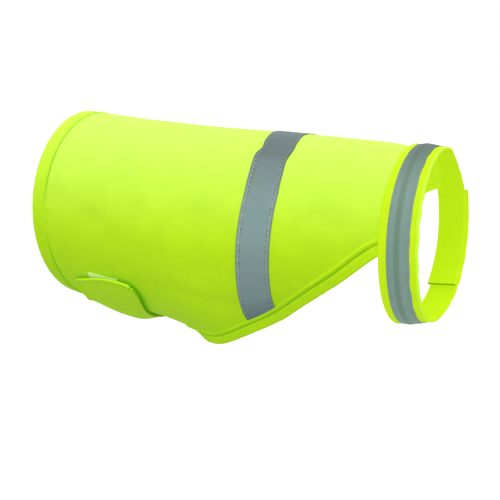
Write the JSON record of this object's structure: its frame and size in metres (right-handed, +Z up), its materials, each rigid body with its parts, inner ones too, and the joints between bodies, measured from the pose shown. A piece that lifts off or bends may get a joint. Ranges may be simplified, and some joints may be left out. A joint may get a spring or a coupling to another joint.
{
  "type": "dog safety vest",
  "caption": "Worn-shape dog vest: back panel with belly flap, bound edges, reflective tape over the back and a lapped reflective collar strap.",
  "frame": {"origin": "where the wearer's back carries the vest: inner face of the back panel on its top line, over the middle of the trunk", "axes": "+X towards the wearer's head, +Y towards the wearer's left side, +Z up"},
  "size_m": [0.3078, 0.1496, 0.1685],
  "materials": {
    "yellow_cloth": "matte brushed polyester, fluorescent yellow-green",
    "yellow_binding": "matte folded polyester binding, fluorescent yellow-green",
    "silver_tape": "satin grey retroreflective tape with stitched margins",
    "collar_cloth": "matte folded polyester strap, fluorescent yellow-green",
    "collar_silver_tape": "satin grey-green retroreflective tape",
    "hook_tape": "pale hook tape"
  },
  "bodies": {
    "root": {"body_panel": "yellow_cloth", "rear_hem_binding": "yellow_binding", "chest_binding_right": "yellow_binding", "chest_binding_left": "yellow_binding", "body_reflective_tape": "silver_tape", "belly_flap": "yellow_cloth", "belly_hook_tape": "hook_tape", "collar_strap": "collar_cloth", "collar_reflective_tape": "collar_silver_tape", "collar_hook_tape": "hook_tape"}
  },
  "joints": []
}
